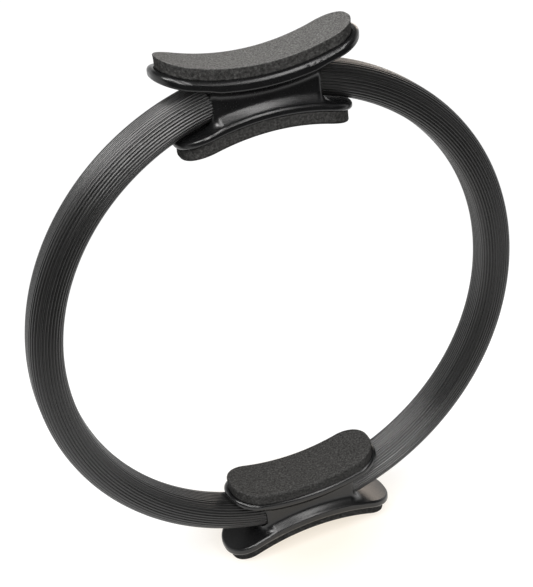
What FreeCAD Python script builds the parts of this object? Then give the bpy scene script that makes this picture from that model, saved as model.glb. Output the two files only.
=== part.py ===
import FreeCAD, Part
import math
import os
import re

import Sketcher
from FreeCAD import Vector

# A pilates ring: a sprung steel hoop in a ribbed rubber sleeve, with two padded handles.
# X runs across the ring, Y along its axis and Z up. The origin is on the floor, midway
# between the two ends of the lower handle's outer pad, which the ring stands on.
# Every piece is drawn about the hoop's centre, with its handle or its middle on +Z. Its
# Placement then turns it round the hoop and lifts it. Millimetres and degrees.

SIZES = {
    # Hoop: mean radius of the ring and the section of the sleeve that shows
    "hoop_radius": 164.0,
    "sleeve_depth": 22.4,
    "sleeve_width": 27.0,
    "sleeve_corner": 9.5,
    "rib_count": 40,
    "rib_height": 0.5,
    # Steel leaves inside the sleeve, stacked across the hoop, and the slot they lie in
    "leaf_width": 14.0,
    "leaf_thickness": 1.0,
    "leaf_gap": 0.1,
    "leaf_end_gap": 1.0,
    "slot_clearance": 0.2,
    # Steel ferrule that joins the leaf ends inside each handle, and its rivets
    "ferrule_wall": 1.2,
    "ferrule_length": 40.0,
    "rivet_radius": 1.5,
    "rivet_pitch": 9.0,
    "rivet_head_radius": 2.75,
    "rivet_head_height": 1.0,
    "rivet_seat": 0.05,
    "rivet_clearance": 0.1,
    # Handle: two saddle flanges back to back on a waist that wraps the hoop
    "saddle_radius": 160.5,
    "outer_face_height": 10.0,
    "inner_face_depth": 17.7,
    "outer_flange_thickness": 6.4,
    "inner_flange_thickness": 4.8,
    "flange_width": 42.0,
    "outer_flange_length": 134.0,
    "inner_flange_length": 118.6,
    "flange_corner": 19.5,
    "rim_face_radius": 2.6,
    "rim_back_radius": 1.8,
    "waist_length": 74.0,
    "waist_width": 31.0,
    "waist_corner": 5.0,
    "flare_radius": 7.5,
    "crease_height": 0.75,
    "tongue_width": 28.6,
    "parting_gap": 0.2,
    # Sockets at the handle's mouths, which the sleeve ends push into
    "socket_spacing": 54.0,
    "socket_clearance": 0.3,
    "sleeve_end_clearance": 0.5,
    "mouth_clearance": 0.9,
    "mouth_depth": 6.0,
    "pocket_clearance": 0.3,
    # Foam pads glued to the flange faces
    "glue_line": 0.15,
    "outer_pad_thickness": 6.9,
    "inner_pad_thickness": 8.0,
    "outer_pad_end_inset": 4.7,
    "inner_pad_end_inset": 3.1,
    "outer_pad_side_inset": 3.5,
    "inner_pad_side_inset": 0.9,
    "outer_pad_edge": 0.6,
    "inner_pad_edge": 1.8,
    "stand_flat": 1.1,
    # Screws that pull the two shells of a handle together, driven under the inner pad
    "screw_radius": 1.75,
    "screw_head_radius": 3.5,
    "screw_head_height": 2.4,
    "screw_head_sink": 3.0,
    "screw_bite": 7.5,
    "screw_spacing": 44.0,
    "screw_row_spacing": 22.6,
    "screw_clearance": 0.25,
    "pilot_clearance": 0.05,
    # A fillet takes at most this share of the wall that it rounds
    "fillet_wall_share": 0.94,
    # How far cutting tools run past what they cut
    "overrun": 5.0,
    # How near a line a point lies to count as on it
    "edge_slack": 0.02,
}

HANDLES = {"upper": 0, "lower": 180}
HALVES = {"right": 90, "left": -90}
LAYERS = {"inner": -1, "middle": 0, "outer": 1}
SIDES = ("outer", "inner")

doc = FreeCAD.newDocument("pilates_ring")
sheet = doc.addObject("Spreadsheet::Sheet", "sizes")
for row, (alias, number) in enumerate(SIZES.items(), start=1):
    sheet.set(f"A{row}", alias)
    sheet.set(f"B{row}", str(number))
    sheet.setAlias(f"B{row}", alias)
doc.recompute()


def formula(text, **parts):
    """An expression on the sheet: words that are aliases become references to their cells."""
    def cell(word):
        name = word.group()
        return f"({parts[name]})" if name in parts else f"sizes.{name}" if name in SIZES else name

    return re.sub(r"[a-z_]+", cell, text)


def value(expression):
    """The number that an expression on the sheet gives."""
    return float(sheet.evalExpression(expression))


def size(alias):
    return value(formula(alias))


def bind(item, **formulas):
    for name, expression in formulas.items():
        item.setExpression(name, expression)
    return item


def arc_angle(length):
    """The angle, in degrees, that an arc of a given length takes on the hoop's mean radius."""
    return formula("(length / hoop_radius * 180 / pi)", length=length)


# Places that several pieces share, all measured from the hoop's centre
SADDLE_AXIS = {
    "outer": formula("hoop_radius + outer_face_height + saddle_radius"),
    "inner": formula("hoop_radius - inner_face_depth - saddle_radius"),
}
FLANGE_LENGTH = {side: formula(f"{side}_flange_length") for side in SIDES}
FLANGE_BACK = {side: formula(f"saddle_radius + {side}_flange_thickness") for side in SIDES}
FLANGE_CORNER = formula("min(flange_corner; fillet_wall_share * flange_width / 2)")
OVERHANG = formula("(flange_width - waist_width) / 2")
RIM_BACK = formula("min(rim_back_radius; fillet_wall_share * overhang / 2)", overhang=OVERHANG)
PAD_FACE = {side: formula(f"saddle_radius - glue_line - {side}_pad_thickness") for side in SIDES}
PAD_LENGTH = {side: formula(f"{side}_flange_length - 2 * {side}_pad_end_inset") for side in SIDES}
TIP_RADIUS = formula(
    "axis - sqrt(face ^ 2 - (length / 2) ^ 2)",
    axis=SADDLE_AXIS["outer"], face=PAD_FACE["outer"], length=PAD_LENGTH["outer"],
)
CENTRE_HEIGHT = formula("tip - stand_flat", tip=TIP_RADIUS)
WAIST_LOW = formula("hoop_radius - inner_face_depth + inner_flange_thickness")
WAIST_HIGH = formula("hoop_radius + outer_face_height - outer_flange_thickness")
WAIST_MIDDLE = formula("(low + high) / 2", low=WAIST_LOW, high=WAIST_HIGH)
FLARE = formula("min(flare_radius; fillet_wall_share * (high - low) / 2)", low=WAIST_LOW, high=WAIST_HIGH)
STACK_DEPTH = formula("3 * leaf_thickness + 2 * leaf_gap")
SLOT_DEPTH = formula("stack + 2 * slot_clearance", stack=STACK_DEPTH)
SLOT_WIDTH = formula("leaf_width + 2 * slot_clearance")
FERRULE_DEPTH = formula("slot + 2 * ferrule_wall", slot=SLOT_DEPTH)
FERRULE_WIDTH = formula("slot + 2 * ferrule_wall", slot=SLOT_WIDTH)
SCREW_SEAT = formula("hoop_radius - inner_face_depth + screw_head_sink")


def place(item, label, turn):
    """Names a finished piece, turns it round the hoop and lifts it to its height."""
    item.Label = label
    spin = f"rotation(vector(0; 1; 0); {turn})"
    bind(item, Placement=f"placement(vector(0; 0; {CENTRE_HEIGHT}); {spin})")
    return item


def cylinder(name, radius, height, placement):
    item = doc.addObject("Part::Cylinder", name)
    return bind(item, Radius=radius, Height=height, Placement=placement)


def crosswise(name, radius, axis_height):
    """A cylinder along Y, wide enough to pass through a whole handle."""
    width = formula("flange_width + 2 * (flare_radius + overrun)")
    lie = "rotation(vector(1; 0; 0); -90)"
    return cylinder(name, radius, width, f"placement(vector(0; -({width}) / 2; {axis_height}); {lie})")


def boolean(kind, name, base, tool):
    item = doc.addObject(f"Part::{kind}", name)
    item.Base = base
    item.Tool = tool
    return item


def fuse(name, pieces):
    item = doc.addObject("Part::MultiFuse", name)
    item.Shapes = pieces
    return item


def new_sketch(body, name, plane):
    sketch = body.newObject("Sketcher::SketchObject", name)
    support = [item for item in body.Origin.OriginFeatures if item.Role == plane][0]
    sketch.AttachmentSupport = [(support, "")]
    sketch.MapMode = "FlatFace"
    return sketch


def add_distance(sketch, name, kind, first, second, expression):
    """A named dimension between two points of a sketch, bound to the sheet."""
    index = sketch.addConstraint(Sketcher.Constraint(kind, *first, *second, value(expression)))
    sketch.renameConstraint(index, name)
    sketch.setExpression(f"Constraints.{name}", expression)


def draw_rectangle(sketch, width, low, high):
    """A rectangle astride the sketch's vertical axis, between two heights."""
    half = f"({width}) / 2"
    right, bottom, top = value(half), value(low), value(high)
    corners = [Vector(-right, bottom), Vector(right, bottom), Vector(right, top), Vector(-right, top)]
    lines = [Part.LineSegment(corners[i], corners[(i + 1) % 4]) for i in range(4)]
    south, east, north, west = sketch.addGeometry(lines, False)
    for line, following in ((south, east), (east, north), (north, west), (west, south)):
        sketch.addConstraint(Sketcher.Constraint("Coincident", line, 2, following, 1))
    for line in (south, north):
        sketch.addConstraint(Sketcher.Constraint("Horizontal", line))
    for line in (east, west):
        sketch.addConstraint(Sketcher.Constraint("Vertical", line))
    add_distance(sketch, "right", "DistanceX", (-1, 1), (east, 1), half)
    add_distance(sketch, "left", "DistanceX", (west, 1), (-1, 1), half)
    add_distance(sketch, "low", "DistanceY", (-1, 1), (south, 1), low)
    add_distance(sketch, "high", "DistanceY", (-1, 1), (north, 1), high)


def draw_rounded_rectangle(sketch, width, height, corner, middle=None):
    """A rounded rectangle astride the vertical axis, about the origin or about a height."""
    right, top, radius = value(width) / 2, value(height) / 2, value(corner)
    centre = value(middle) if middle else 0
    across, up = right - radius, top - radius
    turns = ((across, -up, 270), (across, up, 0), (-across, up, 90), (-across, -up, 180))
    shapes = []
    for index, (x, y, start) in enumerate(turns):
        circle = Part.Circle(Vector(x, centre + y), Vector(0, 0, 1), radius)
        arc = Part.ArcOfCircle(circle, math.radians(start), math.radians(start + 90))
        next_x, next_y, _ = turns[(index + 1) % 4]
        leave = Vector(next_x - x, next_y - y)
        offset = arc.EndPoint
        shapes += [arc, Part.LineSegment(offset, offset + leave)]
    ids = sketch.addGeometry(shapes, False)
    arcs, lines = ids[0::2], ids[1::2]
    for current, following in zip(ids, ids[1:] + ids[:1]):
        sketch.addConstraint(Sketcher.Constraint("Tangent", current, 2, following, 1))
    east, north, west, south = lines
    for line in (south, north):
        sketch.addConstraint(Sketcher.Constraint("Horizontal", line))
    for line in (east, west):
        sketch.addConstraint(Sketcher.Constraint("Vertical", line))
    for arc in arcs[1:]:
        sketch.addConstraint(Sketcher.Constraint("Equal", arcs[0], arc))
    index = sketch.addConstraint(Sketcher.Constraint("Radius", arcs[0], radius))
    sketch.renameConstraint(index, "corner")
    sketch.setExpression("Constraints.corner", corner)
    add_distance(sketch, "right", "DistanceX", (-1, 1), (east, 1), f"({width}) / 2")
    add_distance(sketch, "left", "DistanceX", (west, 1), (-1, 1), f"({width}) / 2")
    if middle:
        add_distance(sketch, "low", "DistanceY", (-1, 1), (south, 1), f"{middle} - ({height}) / 2")
        add_distance(sketch, "high", "DistanceY", (-1, 1), (north, 1), f"{middle} + ({height}) / 2")
    else:
        add_distance(sketch, "low", "DistanceY", (south, 1), (-1, 1), f"({height}) / 2")
        add_distance(sketch, "high", "DistanceY", (-1, 1), (north, 1), f"({height}) / 2")


def revolve(body, sketch, angle):
    """Turns a section about the hoop's axis, half the angle to each side of the sketch."""
    turned = body.newObject("PartDesign::Revolution", f"{body.Name}_turned")
    turned.Profile = sketch
    turned.ReferenceAxis = (sketch, ["H_Axis"])
    turned.Midplane = True
    return bind(turned, Angle=angle)


def ring_sector(name, width, depth, angle):
    """Part of a ring of rectangular section on the hoop's mean radius, centred on +Z."""
    body = doc.addObject("PartDesign::Body", name)
    sketch = new_sketch(body, f"{name}_section", "YZ_Plane")
    middle = formula("hoop_radius")
    draw_rectangle(sketch, width, f"{middle} - ({depth}) / 2", f"{middle} + ({depth}) / 2")
    revolve(body, sketch, angle)
    return body


def radial_pins(name, angles, steps):
    """Round pins along the hoop's radii, each a stack of steps of radius, low and high end."""
    pieces = []
    for number, angle in enumerate(angles, start=1):
        spin = f"rotation(vector(0; 1; 0); {angle})"
        for step, (radius, low, high) in enumerate(steps, start=1):
            foot = f"vector(({low}) * sin({angle}); 0; ({low}) * cos({angle}))"
            height = f"({high}) - ({low})"
            pieces.append(cylinder(f"{name}_{number}_{step}", radius, height, f"placement({foot}; {spin})"))
    return fuse(name, pieces)


def upright_pins(name, steps):
    """Round pins at the four screw places, each a stack of steps of radius, low and high end."""
    pieces = []
    for along in (-1, 1):
        for across in (-1, 1):
            for step, (radius, low, high) in enumerate(steps, start=1):
                foot = formula("vector(along * screw_spacing / 2; across * screw_row_spacing / 2; low)",
                               along=along, across=across, low=low)
                pieces.append(cylinder(f"{name}_{len(pieces)}_{step}", radius, f"({high}) - ({low})",
                                       f"placement({foot}; rotation(vector(0; 0; 1); 0))"))
    return fuse(name, pieces)


def plan_prism(name, length, width, corner, low="0", high=SADDLE_AXIS["outer"]):
    """An upright prism with a rounded plan, between two heights above the hoop's centre."""
    body = doc.addObject("PartDesign::Body", f"{name}_plan")
    sketch = new_sketch(body, f"{name}_outline", "XY_Plane")
    draw_rounded_rectangle(sketch, length, width, corner)
    prism = body.newObject("PartDesign::Pad", f"{name}_prism")
    prism.Profile = sketch
    bind(prism, Length=f"({high}) - ({low})")
    return bind(body, Placement=f"placement(vector(0; 0; {low}); rotation(vector(0; 0; 1); 0))")


def saddle_sheet(name, side, low, high, length, width, corner):
    """A sheet bent round a handle's saddle axis, between two radii, with a rounded plan."""
    shell = boolean("Cut", f"{name}_shell", crosswise(f"{name}_back", high, SADDLE_AXIS[side]),
                    crosswise(f"{name}_front", low, SADDLE_AXIS[side]))
    return boolean("Common", f"{name}_sheet", plan_prism(name, length, width, corner), shell)


def edges_on_saddle(shape, side, radius, wanted, spread="0"):
    """Names of the edges on a handle's saddle cylinder, or up to a spread behind it, that pass a test."""
    axis, radius, spread = value(SADDLE_AXIS[side]), value(radius), value(spread)
    slack = size("edge_slack")
    names = []
    for number, edge in enumerate(shape.Edges, start=1):
        points = edge.discretize(5)
        if all(-slack < math.hypot(p.x, p.z - axis) - radius < spread + slack and wanted(p) for p in points):
            names.append(f"Edge{number}")
    return names


def round_edges(body, name, base, edges, radius):
    fillet = body.newObject("PartDesign::Fillet", name)
    fillet.Base = (base, edges)
    bind(fillet, Radius=radius)
    doc.recompute()
    return fillet


def start_body(name, base):
    """A body that goes on from a finished shape."""
    doc.recompute()
    body = doc.addObject("PartDesign::Body", name)
    body.BaseFeature = base
    doc.recompute()
    return body


def make_flared_blank():
    """The waist between two oversize flanges, which the flare runs out on before they are trimmed."""
    blanks = [
        saddle_sheet(f"{side}_blank", side, formula("saddle_radius"), FLANGE_BACK[side],
                     f"{FLANGE_LENGTH[side]} + 2 * {FLARE}", formula("flange_width + 2 * flare", flare=FLARE),
                     f"{FLANGE_CORNER} + {FLARE}")
        for side in SIDES
    ]
    waist = plan_prism("waist", formula("waist_length"), formula("waist_width"), formula("waist_corner"))
    for side in SIDES:
        core = crosswise(f"{side}_blank_middle", formula(f"saddle_radius + {side}_flange_thickness / 2"),
                         SADDLE_AXIS[side])
        waist = boolean("Cut", f"waist_{side}_end", waist, core)
    blank = start_body("flared_blank", fuse("rough_blank", blanks + [waist]))
    slack = size("edge_slack")
    half_length, half_width = size("waist_length") / 2 + slack, size("waist_width") / 2 + slack

    def by_waist(point):
        return abs(point.x) < half_length and abs(point.y) < half_width

    joins = []
    for side in SIDES:
        joins += edges_on_saddle(blank.Shape, side, FLANGE_BACK[side], by_waist)
    round_edges(blank, "flare", blank.Tip, joins, FLARE)
    return blank


def make_handle_form():
    """The whole outside of a handle: the flared blank, trimmed to both flanges and rounded at their rims."""
    reach = {"outer": (WAIST_MIDDLE, SADDLE_AXIS["outer"]), "inner": ("0", WAIST_MIDDLE)}
    width = formula("flange_width")
    prisms = [plan_prism(f"{side}_flange", FLANGE_LENGTH[side], width, FLANGE_CORNER, *reach[side])
              for side in SIDES]
    trimmed = boolean("Common", "trimmed_blank", make_flared_blank(), fuse("flange_trim", prisms))
    form = start_body("handle_form", trimmed)
    last = form.Tip
    for side in SIDES:
        rim_face = formula(f"min(rim_face_radius; fillet_wall_share * {side}_flange_thickness / 2)")
        for name, radius, rounding, spread in (("face", formula("saddle_radius"), rim_face, "0"),
                                               ("back", FLANGE_BACK[side], RIM_BACK, FLARE)):
            edges = edges_on_saddle(form.Shape, side, radius, lambda point: is_rim(point, side), spread)
            last = round_edges(form, f"{side}_rim_{name}", last, edges, rounding)
    return form


def is_rim(point, side):
    """Whether a point lies on the outer edge of a flange's plan."""
    across = size("flange_width") / 2 - abs(point.y)
    along = value(FLANGE_LENGTH[side]) / 2 - abs(point.x)
    corner = value(FLANGE_CORNER)
    slack = size("edge_slack")
    if across > corner or along > corner:
        return min(across, along) < slack
    return abs(math.hypot(corner - across, corner - along) - corner) < slack


def make_cavities():
    """What is hollow round the hoop inside a handle: sockets, mouths, leaf channel and pockets."""
    shoulder = arc_angle(formula("socket_spacing / 2"))
    spaces = []
    for kind, clearance, start in (
        ("socket", "socket_clearance", formula("socket_spacing / 2")),
        ("mouth", "mouth_clearance", formula("waist_length / 2 - mouth_depth")),
    ):
        for half, turn in (("right", 1), ("left", -1)):
            body = doc.addObject("PartDesign::Body", f"{half}_{kind}_space")
            sketch = new_sketch(body, f"{half}_{kind}_section", "YZ_Plane")
            draw_rounded_rectangle(
                sketch,
                formula(f"sleeve_width + 2 * {clearance}"), formula(f"sleeve_depth + 2 * {clearance}"),
                formula(f"sleeve_corner + {clearance}"), formula("hoop_radius"))
            reach = arc_angle(formula("waist_length / 2 + flare_radius + overrun - start", start=start))
            revolve(body, sketch, reach)
            turned = f"{turn} * ({arc_angle(start)} + {reach} / 2)"
            bind(body, Placement=f"placement(vector(0; 0; 0); rotation(vector(0; 1; 0); {turned}))")
            spaces.append(body)
    spaces.append(ring_sector("leaf_channel", SLOT_WIDTH, SLOT_DEPTH,
                              f"2 * {shoulder} + {arc_angle(formula('overrun'))}"))
    spaces.append(ring_sector(
        "ferrule_pocket", formula("width + 2 * pocket_clearance", width=FERRULE_WIDTH),
        formula("depth + 2 * pocket_clearance", depth=FERRULE_DEPTH),
        arc_angle(formula("ferrule_length + 2 * pocket_clearance"))))
    spaces.append(ring_sector(
        "rivet_relief", formula("2 * (rivet_head_radius + pocket_clearance)"),
        formula("depth + 2 * (rivet_head_height + rivet_seat + pocket_clearance)", depth=FERRULE_DEPTH),
        arc_angle(formula("3 * rivet_pitch + 2 * (rivet_head_radius + pocket_clearance)"))))
    return spaces


def make_halves():
    """The handle's form parted at the crease beside the inner flange. A tongue of the inner half fills
    the waist up to the hoop's mean radius."""
    form = make_handle_form()
    for side, kind, sign in (("outer", "Cut", "+"), ("inner", "Common", "-")):
        plate = crosswise(
            f"{side}_crease",
            formula(f"back + crease_height {sign} parting_gap / 2", back=FLANGE_BACK["inner"]),
            SADDLE_AXIS["inner"])
        column = plan_prism(
            f"{side}_tongue", formula("waist_length + 2 * (flare_radius + overrun)"),
            formula(f"tongue_width {sign} parting_gap"), formula("waist_corner"))
        level = crosswise(f"{side}_parting", formula(f"hoop_radius {sign} parting_gap / 2"), "0")
        tool = fuse(f"{side}_parting_tool", [plate, boolean("Common", f"{side}_tongue", column, level)])
        yield side, boolean(kind, f"{side}_half", form, tool)


def make_shells():
    """The outer and inner shell of each handle, hollowed for the hoop and drilled for the screws."""
    cavities = make_cavities()
    pilot = (formula("screw_radius + pilot_clearance"), formula("hoop_radius - overrun"),
             formula("hoop_radius + screw_bite + screw_clearance"))
    shank = (formula("screw_radius + screw_clearance"), SCREW_SEAT, formula("hoop_radius + overrun"))
    sink = (formula("screw_head_radius + screw_clearance"),
            formula("hoop_radius - inner_face_depth - saddle_radius"), SCREW_SEAT)
    holes = {
        "outer": upright_pins("pilot_holes", [pilot]),
        "inner": upright_pins("screw_spaces", [shank, sink]),
    }
    for side, half in make_halves():
        hollow = fuse(f"{side}_hollow", cavities + [holes[side]])
        for handle, turn in HANDLES.items():
            label = f"{handle}_{side}_shell"
            yield place(boolean("Cut", label, half, hollow), label, turn)


def make_pads():
    """Four foam pads; the one that the ring stands on is pressed flat at its two ends."""
    glued = formula("saddle_radius - glue_line")
    for handle, turn in HANDLES.items():
        for side in SIDES:
            label = f"{handle}_{side}_pad"
            width = formula(f"flange_width - 2 * {side}_pad_side_inset")
            corner = formula(f"corner - {side}_pad_side_inset", corner=FLANGE_CORNER)
            sheet_of_foam = saddle_sheet(label, side, PAD_FACE[side], glued, PAD_LENGTH[side], width, corner)
            body = start_body(f"{label}_foam", sheet_of_foam)
            edges = edges_on_saddle(body.Shape, side, PAD_FACE[side], lambda point: True)
            round_edges(body, f"{label}_edge", body.Tip, edges, formula(f"{side}_pad_edge"))
            if label == "lower_outer_pad":
                slab = doc.addObject("Part::Box", "floor_slab")
                reach = formula("outer_flange_length + 2 * overrun")
                bind(slab, Length=reach, Width=reach, Height=formula("outer_pad_thickness + overrun"),
                     Placement=f"placement(vector(-({reach}) / 2; -({reach}) / 2; {CENTRE_HEIGHT}); "
                               "rotation(vector(0; 0; 1); 0))")
                body = boolean("Cut", "lower_outer_pad_pressed", body, slab)
            yield place(body, label, turn)


def ribbed_outline():
    """The sleeve's outline as rounded ribs, evenly spaced round a rounded rectangle."""
    rise, count = size("rib_height"), int(size("rib_count"))
    depth, width = size("sleeve_depth") / 2 - rise, size("sleeve_width") / 2 - rise
    radius = size("sleeve_corner") - rise
    flat_y, flat_z = width - radius, depth - radius
    quarter = radius * math.pi / 2
    runs = [2 * flat_z, quarter, 2 * flat_y, quarter] * 2
    centres = ((flat_y, flat_z), (-flat_y, flat_z), (-flat_y, -flat_z), (flat_y, -flat_z))

    def at(distance, lift):
        distance = distance % sum(runs)
        for index, run in enumerate(runs):
            if distance <= run:
                break
            distance -= run
        quadrant, on_corner = index // 2, index % 2
        start = math.radians(90 * quadrant)
        if on_corner:
            y, z = centres[quadrant]
            angle = start + distance / radius
        else:
            y, z = centres[quadrant - 1]
            angle = start
            y, z = y - distance * math.sin(start), z + distance * math.cos(start)
        reach = radius + lift
        return Vector(y + reach * math.cos(angle), size("hoop_radius") + z + reach * math.sin(angle))

    pitch = sum(runs) / count
    return [
        Part.Arc(at(i * pitch, 0), at((i + 0.5) * pitch, rise), at((i + 1) * pitch, 0))
        for i in range(count)
    ]


def make_sleeves():
    """The two ribbed sleeves, each round one half of the hoop, with a slot for the leaves."""
    for half, turn in HALVES.items():
        label = f"{half}_sleeve"
        body = doc.addObject("PartDesign::Body", label)
        sketch = new_sketch(body, f"{label}_section", "YZ_Plane")
        sketch.addGeometry(ribbed_outline(), False)
        middle = formula("hoop_radius")
        draw_rectangle(sketch, SLOT_WIDTH, f"{middle} - ({SLOT_DEPTH}) / 2", f"{middle} + ({SLOT_DEPTH}) / 2")
        end = arc_angle(formula("socket_spacing / 2 + sleeve_end_clearance"))
        revolve(body, sketch, f"180 - 2 * {end}")
        yield place(body, label, turn)


def rivet_angles(middle):
    """Places of the four rivets of one ferrule, as angles about the hoop's axis."""
    return [f"({middle} + {step} * {arc_angle(formula('rivet_pitch'))})" for step in (-1.5, -0.5, 0.5, 1.5)]


def make_rivet_holes():
    hole = (formula("rivet_radius + rivet_clearance"), formula("hoop_radius - overrun"),
            formula("hoop_radius + overrun"))
    return radial_pins("rivet_holes", rivet_angles(0) + rivet_angles(180), [hole])


def make_leaves(rivet_holes):
    """Three steel leaves in each half of the hoop, drilled at both ends for the rivets."""
    for layer, place_in_stack in LAYERS.items():
        body = doc.addObject("PartDesign::Body", f"{layer}_leaf_band")
        sketch = new_sketch(body, f"{layer}_leaf_section", "YZ_Plane")
        middle = formula("hoop_radius + place * (leaf_thickness + leaf_gap)", place=place_in_stack)
        half = formula("leaf_thickness / 2")
        draw_rectangle(sketch, formula("leaf_width"), f"{middle} - {half}", f"{middle} + {half}")
        revolve(body, sketch, f"180 - {arc_angle(formula('leaf_end_gap'))}")
        bind(body, Placement="placement(vector(0; 0; 0); rotation(vector(0; 1; 0); 90))")
        for half_name, turn in HALVES.items():
            label = f"{half_name}_{layer}_leaf"
            yield place(boolean("Cut", label, body, rivet_holes), label, turn - HALVES["right"])


def make_ferrules(rivet_holes):
    """A steel tube round the leaf ends inside each handle, drilled for the rivets."""
    angle = arc_angle(formula("ferrule_length"))
    bar = ring_sector("ferrule_bar", FERRULE_WIDTH, FERRULE_DEPTH, angle)
    bore = ring_sector("ferrule_bore", SLOT_WIDTH, SLOT_DEPTH, f"{angle} + {arc_angle(formula('overrun'))}")
    tube = boolean("Cut", "ferrule_tube", bar, bore)
    for handle, turn in HANDLES.items():
        label = f"{handle}_ferrule"
        yield place(boolean("Cut", label, tube, rivet_holes), label, turn)


def make_rivets():
    """Four rivets through each ferrule and the leaf ends in it."""
    middle = formula("hoop_radius")
    seat = formula("(depth / 2 + rivet_seat)", depth=FERRULE_DEPTH)
    tip = formula("(seat + rivet_head_height)", seat=seat)
    steps = [
        (formula("rivet_radius"), f"{middle} - {seat}", f"{middle} + {seat}"),
        (formula("rivet_head_radius"), f"{middle} + {seat}", f"{middle} + {tip}"),
        (formula("rivet_head_radius"), f"{middle} - {tip}", f"{middle} - {seat}"),
    ]
    for handle, turn in HANDLES.items():
        label = f"{handle}_rivets"
        yield place(radial_pins(label, rivet_angles(0), steps), label, turn)


def make_screws():
    """Four screws in each handle, with their heads sunk under the inner pad."""
    steps = [
        (formula("screw_radius"), SCREW_SEAT, formula("hoop_radius + screw_bite")),
        (formula("screw_head_radius"), formula("seat - screw_head_height", seat=SCREW_SEAT), SCREW_SEAT),
    ]
    for handle, turn in HANDLES.items():
        label = f"{handle}_screws"
        yield place(upright_pins(label, steps), label, turn)


def write_parts(pieces):
    """Checks the whole document and every piece, then writes each piece to its own file."""
    doc.recompute()
    broken = [item.Name for item in doc.Objects if {"Invalid", "Error"} & set(item.State)]
    if broken:
        raise RuntimeError(f"failed objects: {broken}")
    for piece in pieces:
        if piece.Shape.isNull() or not piece.Shape.isValid() or not piece.Shape.Solids:
            raise RuntimeError(f"{piece.Label} has no valid solid")
    os.makedirs("parts", exist_ok=True)
    for piece in pieces:
        piece.Shape.exportStep(os.path.join("parts", f"{piece.Label}.step"))
        print(f"{piece.Label}: {len(piece.Shape.Solids)} solids, {piece.Shape.Volume:.0f} mm3")


def main():
    holes = make_rivet_holes()
    pieces = [
        *make_sleeves(), *make_leaves(holes), *make_ferrules(holes), *make_rivets(),
        *make_shells(), *make_screws(), *make_pads(),
    ]
    write_parts(pieces)
    print(f"hoop centre {value(CENTRE_HEIGHT):.3f} mm above the floor")


main()
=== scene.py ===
import math

import bmesh
import bpy
from mathutils import Matrix, Vector


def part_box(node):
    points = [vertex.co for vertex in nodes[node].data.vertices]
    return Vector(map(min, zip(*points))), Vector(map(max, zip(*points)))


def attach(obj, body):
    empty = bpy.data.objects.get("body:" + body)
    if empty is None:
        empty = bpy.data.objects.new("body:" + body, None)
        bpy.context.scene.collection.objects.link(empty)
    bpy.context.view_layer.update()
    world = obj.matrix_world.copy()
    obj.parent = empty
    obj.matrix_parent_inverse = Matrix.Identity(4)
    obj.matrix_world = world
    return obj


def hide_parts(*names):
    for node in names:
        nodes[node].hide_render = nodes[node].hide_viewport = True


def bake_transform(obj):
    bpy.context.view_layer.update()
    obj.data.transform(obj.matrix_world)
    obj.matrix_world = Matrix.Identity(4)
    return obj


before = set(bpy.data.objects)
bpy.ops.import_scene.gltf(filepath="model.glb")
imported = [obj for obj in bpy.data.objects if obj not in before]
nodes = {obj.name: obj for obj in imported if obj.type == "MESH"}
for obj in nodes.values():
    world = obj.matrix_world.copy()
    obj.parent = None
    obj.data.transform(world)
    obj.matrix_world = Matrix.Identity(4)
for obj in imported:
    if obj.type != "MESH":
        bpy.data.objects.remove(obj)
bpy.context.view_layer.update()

MM = 0.001

# The hoop and its ribbed sleeve. A start is a length along the hoop from the Z axis.
HOOP_RADIUS = 164 * MM
HOOP_STEPS = 112
SLEEVE_DEPTH = 22.4 * MM
SLEEVE_WIDTH = 27 * MM
SLEEVE_CORNER = 9.5 * MM
SLEEVE_START = 27.5 * MM
RIB_COUNT = 40
RIB_HEIGHT = 0.7 * MM
RIB_FULLNESS = 2.6
RIB_STEPS = 10
SLOT_DEPTH = 3.6 * MM
SLOT_WIDTH = 14.4 * MM
SLOT_CORNER = 0.2 * MM
HALVES = {"left": -1, "right": 1}

# The flat springs, which lie in the sleeve's slot and run on into the ferrules.
LEAF_WIDTH = 14 * MM
LEAF_THICKNESS = 1 * MM
LEAF_PITCH = 1.1 * MM
LEAF_CORNER = 0.2 * MM
LEAF_START = 0.5 * MM
LEAF_POINTS = 16
LEAVES = {"inner": -1, "middle": 0, "outer": 1}

# The foam pads. Each lies on a saddle about an axis of its own: axis is where that is, outwards from the
# hoop's centre, sense is the side of it that the pad is on, and face is the soft face's radius about it.
PADS = {
    "outer": {"axis": 334.5 * MM, "sense": -1, "face": 153.45 * MM, "length": 124.6 * MM,
              "width": 35 * MM, "corner": 16 * MM, "edge": 0.7 * MM, "hollow": 0.15 * MM},
    "inner": {"axis": -14.2 * MM, "sense": 1, "face": 152.35 * MM, "length": 112.4 * MM,
              "width": 40.2 * MM, "corner": 18.6 * MM, "edge": 1.9 * MM, "hollow": 0.1 * MM},
}
GLUED_RADIUS = 160.35 * MM
SMALLEST_CORNER = 0.25 * MM
PAD_POINTS = 240
PAD_FACE_STEPS = 9
PAD_SIDE_STEPS = 10
PAD_EDGE_STEPS = 6
HANDLES = {"upper": 1, "lower": -1}
FASTENINGS = ("ferrule", "rivets", "screws")

# The hoop bends between two heights, above the lower handle's hold on it and below the upper handle's.
SLEEVE_LOW, SLEEVE_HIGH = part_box("left_sleeve")
CENTRE = (SLEEVE_LOW[2] + SLEEVE_HIGH[2]) / 2

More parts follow.
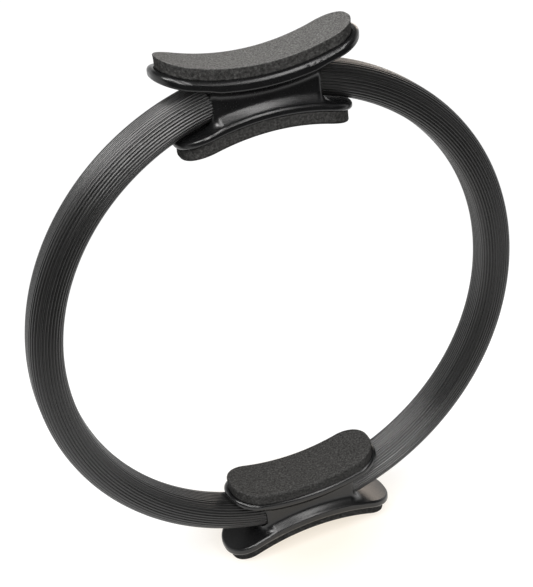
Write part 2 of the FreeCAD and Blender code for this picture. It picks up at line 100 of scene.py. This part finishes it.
# Looks. Tones are linear, the darkest first, and a roughness is a span. Cells and grains are counted per
# metre, and streaks along and round the sleeve.
TONE_STOPS = (0.3, 0.7)
PLASTIC_TONES = ((0.0030, 0.0031, 0.0033), (0.0055, 0.0056, 0.0059))
PLASTIC_ROUGHNESS = (0.20, 0.31)
PLASTIC_SPECULAR = 0.50
RUBBER_TONES = ((0.0045, 0.0045, 0.0044), (0.0090, 0.0089, 0.0087))
RUBBER_ROUGHNESS = (0.16, 0.42)
RUBBER_SPECULAR = 0.68
RUBBER_STREAKS = (6, 75, 1)
FOAM_LOOKS = {
    "skin": {"tone": 0.102, "cells": 1500, "pit": 0.22 * MM},
    "soft": {"tone": 0.040, "cells": 1300, "pit": 0.30 * MM},
    # This foam, on the pads' sides, has coarser pits of its own, and its darker tone is painted shade on
    # those sides.
    "cut_with_painted_shade": {"tone": 0.033, "cells": 1000, "pit": 0.45 * MM},
}
FOAM_TINT = (1, 0.99, 0.965)
FOAM_MOTTLE_SHARES = ((0.30, 0.30), (0.5, 1), (0.72, 2.1))
FOAM_GRAIN_SHARE = 0.6
FOAM_ROUGHNESS = (0.62, 0.82)
FOAM_SPECULAR = 0.06
# Each pad's face foam, then its side foam, whose darker tone is painted shade.
PAD_FOAMS = {"outer": ("skin", "cut_with_painted_shade"), "inner": ("soft", "cut_with_painted_shade")}
STEEL_LOOKS = {
    "plated": {"tones": ((0.50, 0.51, 0.53), (0.64, 0.65, 0.66)),
               "grains": (900, 900, 900), "roughness": (0.22, 0.38)},
    "spring": {"tones": ((0.16, 0.17, 0.19), (0.27, 0.28, 0.30)),
               "grains": (300, 2500, 300), "roughness": (0.28, 0.46)},
}

# The studio. Floor colours go by the distance from the origin, and the backdrop's by the height looked at.
# A mirrored background fades from dark to white between two values of Y.
FLOOR_REACH = 8
FLOOR_PAINT = ((0.25, (0.22, 0.218, 0.215)), (0.50, (0.03, 0.03, 0.03)))
# The floor glows darker and warmer near the origin: a painted shadow under the object.
FLOOR_GLOW_AND_PAINTED_SHADOW = ((0.03, (0.76, 0.69, 0.59)), (0.11, (0.92, 0.92, 0.92)), (0.35, (1, 1, 1)))
FLOOR_ROUGHNESS = 0.7
FLOOR_SPECULAR = 0.1
FLOOR_FADE = (-0.42, -0.14)
BACKDROP = ((0.30, (1, 1, 1)), (0.65, (0.12, 0.12, 0.12)))
BACKDROP_FADE = (-0.35, 0.10)
ROOM_LIGHT = 0.07
NEUTRAL = (1, 0.99, 0.98)
WARM = (1, 0.84, 0.70)
LAMPS = {
    "front": {"place": (0.33, -0.84, 1.19), "target": (0.33, 0, 0.19), "size": (0.18, 1.8),
              "power": 12, "colour": NEUTRAL},
    "left": {"place": (-0.32, -0.84, 1.19), "target": (-0.32, 0, 0.19), "size": (0.36, 1.9),
             "power": 20, "colour": NEUTRAL},
    "side": {"place": (-0.68, -0.30, 1.05), "target": (-0.1, 0, 0.2), "size": (0.36, 0.42),
             "power": 7, "colour": NEUTRAL},
    "back": {"place": (0.83, 0.90, 0.60), "target": (0, 0, 0.2), "size": (0.5, 0.4),
             "power": 2.2, "colour": WARM},
}

# The camera, from the fit to the photograph, in hoop radii and radians. The sensor is in millimetres.
VIEW_AZIMUTH = -0.3779
VIEW_ELEVATION = 0.4963
VIEW_ROLL = -0.0215
VIEW_DISTANCE = 4.6669
VIEW_TARGET = (-0.0732, 0, 0.0975)
VIEW_TURN = math.radians(5.1)
FOCAL_PIXELS = 1138.807
LONG_SIDE_PIXELS = 587
SENSOR = 36

scene = bpy.context.scene


# Shader nodes.

def add(tree, kind, **values):
    """A node with its properties and input values set by name."""
    node = tree.nodes.new(kind)
    for key, entry in values.items():
        if key in node.inputs:
            node.inputs[key].default_value = entry
        else:
            setattr(node, key, entry)
    return node


def object_place(tree):
    return add(tree, "ShaderNodeTexCoord").outputs["Object"]


def scaled(tree, vector, factors):
    node = add(tree, "ShaderNodeMapping", Scale=factors)
    tree.links.new(vector, node.inputs["Vector"])
    return node.outputs["Vector"]


def component(tree, vector, axis):
    node = add(tree, "ShaderNodeSeparateXYZ")
    tree.links.new(vector, node.inputs["Vector"])
    return node.outputs[axis]


def combined(tree, operation, first, second):
    node = add(tree, "ShaderNodeMath", operation=operation)
    tree.links.new(first, node.inputs[0])
    tree.links.new(second, node.inputs[1])
    return node.outputs["Value"]


def remap(tree, factor, source=(0, 1), target=(0, 1)):
    """A value carried from one span to another and held at its ends."""
    node = add(tree, "ShaderNodeMapRange")
    for name, (lowest, highest) in (("From", source), ("To", target)):
        node.inputs[f"{name} Min"].default_value = lowest
        node.inputs[f"{name} Max"].default_value = highest
    tree.links.new(factor, node.inputs["Value"])
    return node.outputs["Result"]


def noise(tree, vector, scale, detail, roughness=0.5):
    node = add(tree, "ShaderNodeTexNoise", Scale=scale, Detail=detail, Roughness=roughness)
    tree.links.new(vector, node.inputs["Vector"])
    return node.outputs["Fac"]


def ramp(tree, factor, stops):
    """A colour ramp from pairs of position and colour."""
    node = add(tree, "ShaderNodeValToRGB")
    entries = node.color_ramp.elements
    while len(entries) < len(stops):
        entries.new(1.0)
    for entry, (place, colour) in zip(entries, stops):
        entry.position = place
        entry.color = (*colour, 1)
    tree.links.new(factor, node.inputs["Fac"])
    return node.outputs["Color"]


def two_tones(tree, factor, tones):
    """Blotches of two tones, with the change in the middle of a noise's range."""
    return ramp(tree, factor, list(zip(TONE_STOPS, tones)))


def bump(tree, height, depth, strength, under=None):
    """A bumped normal, on top of another one where that is given."""
    node = add(tree, "ShaderNodeBump", Distance=depth, Strength=strength)
    tree.links.new(height, node.inputs["Height"])
    if under is not None:
        tree.links.new(under, node.inputs["Normal"])
    return node.outputs["Normal"]


# Materials.

def new_material(name):
    material = bpy.data.materials.new(name)
    material.use_nodes = True
    tree = material.node_tree
    return material, tree, tree.nodes["Principled BSDF"]


def dress(tree, shader, colour, roughness, normal):
    """Joins the three textures that each of the object's materials has to its shader."""
    tree.links.new(colour, shader.inputs["Base Color"])
    tree.links.new(roughness, shader.inputs["Roughness"])
    tree.links.new(normal, shader.inputs["Normal"])


def make_plastic():
    """Black moulded plastic with a fine stipple and slightly uneven gloss."""
    material, tree, shader = new_material("handle_plastic")
    place = object_place(tree)
    tone = two_tones(tree, noise(tree, place, scale=90, detail=5), PLASTIC_TONES)
    gloss = noise(tree, place, scale=1400, detail=3, roughness=0.6)
    stipple = bump(tree, noise(tree, place, scale=2200, detail=2), depth=0.08 * MM, strength=0.32)
    flow = bump(tree, noise(tree, place, scale=70, detail=2), depth=0.4 * MM, strength=0.10, under=stipple)
    dress(tree, shader, tone, remap(tree, gloss, target=PLASTIC_ROUGHNESS), flow)
    shader.inputs["Specular IOR Level"].default_value = PLASTIC_SPECULAR
    return material


def make_foam(name, tone, cells, pit):
    """Dense closed-cell foam, matt, mottled and pitted, by its middle tone, cells per metre and pit depth."""
    material, tree, shader = new_material(name)
    place = object_place(tree)
    mottle = noise(tree, place, scale=cells * FOAM_GRAIN_SHARE, detail=6, roughness=0.65)
    stops = [(spot, tuple(tone * part * tint for tint in FOAM_TINT)) for spot, part in FOAM_MOTTLE_SHARES]
    gloss = noise(tree, place, scale=350, detail=3)
    pores = add(tree, "ShaderNodeTexVoronoi", feature="F1", Scale=cells)
    tree.links.new(place, pores.inputs["Vector"])
    pits = bump(tree, pores.outputs["Distance"], depth=pit, strength=0.5)
    lumps = noise(tree, place, scale=cells * FOAM_GRAIN_SHARE, detail=5, roughness=0.6)
    grain = bump(tree, lumps, depth=pit, strength=0.5, under=pits)
    dress(tree, shader, ramp(tree, mottle, stops), remap(tree, gloss, target=FOAM_ROUGHNESS), grain)
    shader.inputs["Specular IOR Level"].default_value = FOAM_SPECULAR
    return material


def make_rubber():
    """Extruded rubber: streaks run along the hoop, with a soft gloss on the ribs."""
    material, tree, shader = new_material("ribbed_rubber")
    along = scaled(tree, add(tree, "ShaderNodeTexCoord").outputs["UV"], RUBBER_STREAKS)
    streak = noise(tree, along, scale=1, detail=3, roughness=0.55)
    tone = two_tones(tree, streak, RUBBER_TONES)
    speckle = noise(tree, object_place(tree), scale=1600, detail=4, roughness=0.6)
    grain = bump(tree, speckle, depth=0.06 * MM, strength=0.25)
    drawn = bump(tree, streak, depth=0.06 * MM, strength=0.35, under=grain)
    dress(tree, shader, tone, remap(tree, streak, target=RUBBER_ROUGHNESS), drawn)
    shader.inputs["Specular IOR Level"].default_value = RUBBER_SPECULAR
    return material


def make_steel(name, tones, grains, roughness):
    """Bare metal with a drawn or plated grain, so many to the metre along each axis."""
    material, tree, shader = new_material(name)
    place = scaled(tree, object_place(tree), grains)
    grain = noise(tree, place, scale=1, detail=5, roughness=0.6)
    normal = bump(tree, grain, depth=0.03 * MM, strength=0.2)
    dress(tree, shader, two_tones(tree, grain, tones), remap(tree, grain, target=roughness), normal)
    shader.inputs["Metallic"].default_value = 1.0
    return material


plastic = make_plastic()
foams = {kind: make_foam(f"{kind}_foam", **look) for kind, look in FOAM_LOOKS.items()}
rubber = make_rubber()
steels = {kind: make_steel(f"{kind}_steel", **look) for kind, look in STEEL_LOOKS.items()}


# Outlines.

def rounded_rectangle(half_across, half_up, radius, share):
    """The point and outward direction at a share of the way round, from the middle of the right side."""
    flat_across, flat_up = half_across - radius, half_up - radius
    quarter = radius * math.pi / 2
    runs = [2 * flat_up, quarter, 2 * flat_across, quarter] * 2
    signs = ((1, 1), (-1, 1), (-1, -1), (1, -1))
    centres = [(sign_across * flat_across, sign_up * flat_up) for sign_across, sign_up in signs]
    left = (share * sum(runs) + flat_up) % sum(runs)
    for index, run in enumerate(runs):
        if left <= run:
            break
        left -= run
    quadrant, on_corner = divmod(index, 2)
    start = quadrant * math.pi / 2
    if on_corner:
        across, up = centres[quadrant]
        angle = start + left / radius
    else:
        across, up = centres[quadrant - 1]
        angle = start
        across -= left * math.sin(start)
        up += left * math.cos(start)
    out = Vector((math.cos(angle), math.sin(angle)))
    return Vector((across, up)) + radius * out, out


def outline(half_across, half_up, radius, count):
    """Points and outward directions, evenly spaced round a rounded rectangle."""
    return [rounded_rectangle(half_across, half_up, radius, i / count) for i in range(count)]


def rib_profile():
    """The sleeve's section: rounded ribs side by side all the way round."""
    half_width = SLEEVE_WIDTH / 2 - RIB_HEIGHT
    half_depth = SLEEVE_DEPTH / 2 - RIB_HEIGHT
    points = []
    for i, (point, out) in enumerate(
            outline(half_width, half_depth, SLEEVE_CORNER - RIB_HEIGHT, RIB_COUNT * RIB_STEPS)):
        off_crest = abs(2 * (i % RIB_STEPS) / RIB_STEPS - 1)
        points.append(point + out * RIB_HEIGHT * (1 - off_crest ** RIB_FULLNESS))
    return points


def slot_profile():
    """The slot for the springs, with one point for each rib outside it."""
    return [point for point, _ in outline(SLOT_WIDTH / 2, SLOT_DEPTH / 2, SLOT_CORNER, RIB_COUNT)]


def leaf_profile(layer):
    """One spring's section, in its layer of the stack."""
    shift = Vector((0, layer * LEAF_PITCH))
    section = outline(LEAF_WIDTH / 2, LEAF_THICKNESS / 2, LEAF_CORNER, LEAF_POINTS)
    return [point + shift for point, _ in section]


# Meshes.

def new_piece(name, mesh_maker, materials):
    """A named mesh object, made by a function that fills a bmesh."""
    work = bmesh.new()
    mesh_maker(work)
    bmesh.ops.recalc_face_normals(work, faces=work.faces[:])
    mesh = bpy.data.meshes.new(name)
    work.to_mesh(mesh)
    work.free()
    mesh.polygons.foreach_set("use_smooth", [True] * len(mesh.polygons))
    for material in materials:
        mesh.materials.append(material)
    piece = bpy.data.objects.new(name, mesh)
    scene.collection.objects.link(piece)
    return piece


def hoop_point(profile_point, angle, sense):
    """A section point carried round the hoop; the angle runs from the bottom to the top of one half."""
    reach = HOOP_RADIUS + profile_point[1]
    return Vector((sense * reach * math.sin(angle), profile_point[0], CENTRE - reach * math.cos(angle)))


def sweep(work, profile, start, sense):
    """Rings of vertices along half the hoop, with quads between them and lengthways texture coordinates."""
    layer = work.loops.layers.uv.verify()
    first = start / HOOP_RADIUS
    rings = []
    for step in range(HOOP_STEPS + 1):
        angle = first + (math.pi - 2 * first) * step / HOOP_STEPS
        rings.append([work.verts.new(hoop_point(point, angle, sense)) for point in profile])
    count = len(profile)
    for step in range(HOOP_STEPS):
        for i in range(count):
            j = (i + 1) % count
            face = work.faces.new((rings[step][i], rings[step][j], rings[step + 1][j], rings[step + 1][i]))
            places = ((step, i), (step, i + 1), (step + 1, i + 1), (step + 1, i))
            for loop, (u, v) in zip(face.loops, places):
                loop[layer].uv = (u / HOOP_STEPS, v / count)
    return rings


def make_sleeve(sense):
    """Half the ribbed sleeve; each end has one face from a rib to the slot's edge beside it."""
    def fill(work):
        outside = sweep(work, rib_profile(), SLEEVE_START, sense)
        inside = sweep(work, slot_profile(), SLEEVE_START, sense)
        for ring, hole in ((outside[0], inside[0]), (outside[-1], inside[-1])):
            for k in range(RIB_COUNT):
                rib = [ring[(k * RIB_STEPS + i) % len(ring)] for i in range(RIB_STEPS + 1)]
                work.faces.new([*rib, hole[(k + 1) % RIB_COUNT], hole[k]])
    return fill


def make_leaf(layer, sense):
    """One flat spring, in half the hoop."""
    def fill(work):
        rings = sweep(work, leaf_profile(layer), LEAF_START, sense)
        work.faces.new(rings[0])
        work.faces.new(rings[-1])
    return fill


def pad_rows(pad):
    """Insets and radii of a pad's rings: glued face, slightly hollow side, rounded edge and soft face."""
    edge, face = pad["edge"], pad["face"]
    side = GLUED_RADIUS - face - edge
    deepest = pad["width"] / 2 - SMALLEST_CORNER
    rows = []
    for step in range(PAD_FACE_STEPS, 0, -1):
        rows.append((deepest * step / PAD_FACE_STEPS, GLUED_RADIUS))
    for step in range(PAD_SIDE_STEPS + 1):
        share = step / PAD_SIDE_STEPS
        rows.append((pad["hollow"] * math.sin(math.pi * share), GLUED_RADIUS - share * side))
    for step in range(1, PAD_EDGE_STEPS + 1):
        turn = math.pi / 2 * step / PAD_EDGE_STEPS
        rows.append((edge * (1 - math.cos(turn)), face + edge * (1 - math.sin(turn))))
    for step in range(1, PAD_FACE_STEPS + 1):
        share = step / PAD_FACE_STEPS
        rows.append((edge + (deepest - edge) * share, face))
    return rows


def pad_ring(pad, inset, radius, limit):
    """One closed ring of pad points: the plan drawn in by an inset, on a saddle of a given radius.
    The limit flattens the tips that the object stands on."""
    corner = max(pad["corner"] - inset, SMALLEST_CORNER)
    half_length = pad["length"] / 2 - inset
    half_width = max(pad["width"] / 2 - inset, corner)
    ring = []
    for (x, y), _ in outline(half_length, half_width, corner, PAD_POINTS):
        outward = pad["axis"] + pad["sense"] * math.sqrt(radius ** 2 - x ** 2)
        ring.append((x, y, min(outward, limit)))
    return ring


def fill_middle(work, ring):
    """Closes the narrow innermost ring of a pad's face with faces between opposite points."""
    count = len(ring)
    for i in range(count // 2):
        corners = (ring[i], ring[i + 1], ring[count - i - 1], ring[(count - i) % count])
        work.faces.new(list(dict.fromkeys(corners)))


def make_pad(pad, sense):
    """A foam pad; the side and half the rounded edge beside it take the second material, coarser foam whose
    darker tone is painted shade.
    """
    limit = CENTRE if sense < 0 else math.inf
    # The side rows and the edge half beside them take the side foam, darker as painted shade.
    painted_shade_rows = range(PAD_FACE_STEPS, PAD_FACE_STEPS + PAD_SIDE_STEPS + PAD_EDGE_STEPS // 2)

    def fill(work):
        rings = []
        for inset, radius in pad_rows(pad):
            ring = pad_ring(pad, inset, radius, limit)
            rings.append([work.verts.new((x, y, CENTRE + sense * outward)) for x, y, outward in ring])
        for row, (first, second) in enumerate(zip(rings, rings[1:])):
            for i in range(PAD_POINTS):
                j = (i + 1) % PAD_POINTS
                quad = work.faces.new((first[i], first[j], second[j], second[i]))
                quad.material_index = int(row in painted_shade_rows)
        fill_middle(work, rings[0])
        fill_middle(work, rings[-1])
    return fill


def paint(node, material):
    """Gives a CAD node one material in place of its own."""
    node.data.materials.clear()
    node.data.materials.append(material)


for half, sense in HALVES.items():
    sleeve = new_piece(f"{half}_ribbed_sleeve", make_sleeve(sense), [rubber])
    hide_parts(f"{half}_sleeve")
    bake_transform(sleeve)
    for name, layer in LEAVES.items():
        leaf = new_piece(f"{half}_{name}_spring", make_leaf(layer, sense), [steels["spring"]])
        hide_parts(f"{half}_{name}_leaf")
        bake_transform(leaf)

for handle, sense in HANDLES.items():
    for side, pad in PADS.items():
        pad_materials = [foams[kind] for kind in PAD_FOAMS[side]]
        piece = new_piece(f"{handle}_{side}_foam", make_pad(pad, sense), pad_materials)
        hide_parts(f"{handle}_{side}_pad")
        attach(piece, f"{handle}_handle")
        paint(nodes[f"{handle}_{side}_shell"], plastic)
    for kind in FASTENINGS:
        paint(nodes[f"{handle}_{kind}"], steels["plated"])


# Floor, lights and camera.

def seen_directly(tree, vector, fade):
    """One where the background is looked at, also through glass, and zero where it lights the object.
    A mirrored background is white too, but for the dark room on the camera's side of it."""
    path = add(tree, "ShaderNodeLightPath")
    side = remap(tree, component(tree, vector, "Y"), source=fade)
    mirrored = combined(tree, "MULTIPLY", path.outputs["Is Glossy Ray"], side)
    looked_at = combined(tree, "MAXIMUM", path.outputs["Is Camera Ray"], path.outputs["Is Transmission Ray"])
    return combined(tree, "MAXIMUM", looked_at, mirrored)


def make_floor():
    """A floor that glows plain white away from the object; under it it glows darker and warmer, a painted
    shadow.
    """
    material, tree, shader = new_material("studio_floor")
    place = add(tree, "ShaderNodeNewGeometry").outputs["Position"]
    away = add(tree, "ShaderNodeVectorMath", operation="LENGTH")
    tree.links.new(place, away.inputs[0])
    tree.links.new(ramp(tree, away.outputs["Value"], FLOOR_PAINT), shader.inputs["Base Color"])
    shader.inputs["Roughness"].default_value = FLOOR_ROUGHNESS
    shader.inputs["Specular IOR Level"].default_value = FLOOR_SPECULAR
    # It glows darker and warmer under the object, a painted shadow added to the real shadow on its paint.
    glow_and_painted_shadow = add(tree, "ShaderNodeEmission")
    tree.links.new(ramp(tree, away.outputs["Value"], FLOOR_GLOW_AND_PAINTED_SHADOW), glow_and_painted_shadow.inputs["Color"])
    tree.links.new(seen_directly(tree, place, FLOOR_FADE), glow_and_painted_shadow.inputs["Strength"])
    both = add(tree, "ShaderNodeAddShader")
    tree.links.new(shader.outputs["BSDF"], both.inputs[0])
    tree.links.new(glow_and_painted_shadow.outputs["Emission"], both.inputs[1])
    tree.links.new(both.outputs["Shader"], tree.nodes["Material Output"].inputs["Surface"])
    return material


def add_floor():
    reach = FLOOR_REACH
    corners = [(-reach, -reach, 0), (reach, -reach, 0), (reach, reach, 0), (-reach, reach, 0)]
    mesh = bpy.data.meshes.new("floor")
    mesh.from_pydata(corners, [], [(0, 1, 2, 3)])
    mesh.materials.append(make_floor())
    floor = bpy.data.objects.new("floor", mesh)
    scene.collection.objects.link(floor)


def make_world():
    """Weak even light, and a white backdrop that ends below a dark ceiling."""
    world = bpy.data.worlds.new("studio")
    world.use_nodes = True
    tree = world.node_tree
    plain = tree.nodes["Background"]
    plain.inputs["Color"].default_value = (1, 1, 1, 1)
    plain.inputs["Strength"].default_value = ROOM_LIGHT
    toward = add(tree, "ShaderNodeTexCoord").outputs["Generated"]
    white = add(tree, "ShaderNodeBackground", Strength=1.0)
    tree.links.new(ramp(tree, component(tree, toward, "Z"), BACKDROP), white.inputs["Color"])
    mix = add(tree, "ShaderNodeMixShader")
    tree.links.new(seen_directly(tree, toward, BACKDROP_FADE), mix.inputs["Fac"])
    tree.links.new(plain.outputs["Background"], mix.inputs[1])
    tree.links.new(white.outputs["Background"], mix.inputs[2])
    tree.links.new(mix.outputs["Shader"], tree.nodes["World Output"].inputs["Surface"])
    scene.world = world


def add_lamp(name, place, target, size, power, colour):
    """A rectangular lamp of a width and height, turned to its target."""
    lamp = bpy.data.lights.new(name, "AREA")
    lamp.shape = "RECTANGLE"
    lamp.size, lamp.size_y = size
    lamp.energy = power
    lamp.color = colour
    holder = bpy.data.objects.new(name, lamp)
    holder.location = place
    holder.rotation_euler = (Vector(target) - Vector(place)).to_track_quat("-Z", "Y").to_euler()
    scene.collection.objects.link(holder)


def add_camera():
    """Places the camera by the fit: aimed at its target from afar, then turned about the hoop's axis."""
    flat = math.cos(VIEW_ELEVATION)
    away = Vector((math.sin(VIEW_AZIMUTH) * flat, -math.cos(VIEW_AZIMUTH) * flat, math.sin(VIEW_ELEVATION)))
    place = Vector(VIEW_TARGET) + VIEW_DISTANCE * away
    right = (-away).cross(Vector((0, 0, 1))).normalized()
    up = right.cross(-away)
    rolled_right = math.cos(VIEW_ROLL) * right + math.sin(VIEW_ROLL) * up
    rolled_up = -math.sin(VIEW_ROLL) * right + math.cos(VIEW_ROLL) * up
    turn = Matrix.Rotation(VIEW_TURN, 3, "Y")
    matrix = Matrix([turn @ rolled_right, turn @ rolled_up, turn @ away]).transposed().to_4x4()
    matrix.translation = turn @ place * HOOP_RADIUS + Vector((0, 0, CENTRE))
    lens = bpy.data.cameras.new("camera")
    lens.sensor_width = SENSOR
    lens.lens = FOCAL_PIXELS / LONG_SIDE_PIXELS * SENSOR
    camera = bpy.data.objects.new("camera", lens)
    camera.matrix_world = matrix
    scene.collection.objects.link(camera)
    scene.camera = camera


add_floor()
make_world()
for name, lamp in LAMPS.items():
    add_lamp(name, **lamp)
add_camera()
scene.view_settings.view_transform = "Standard"
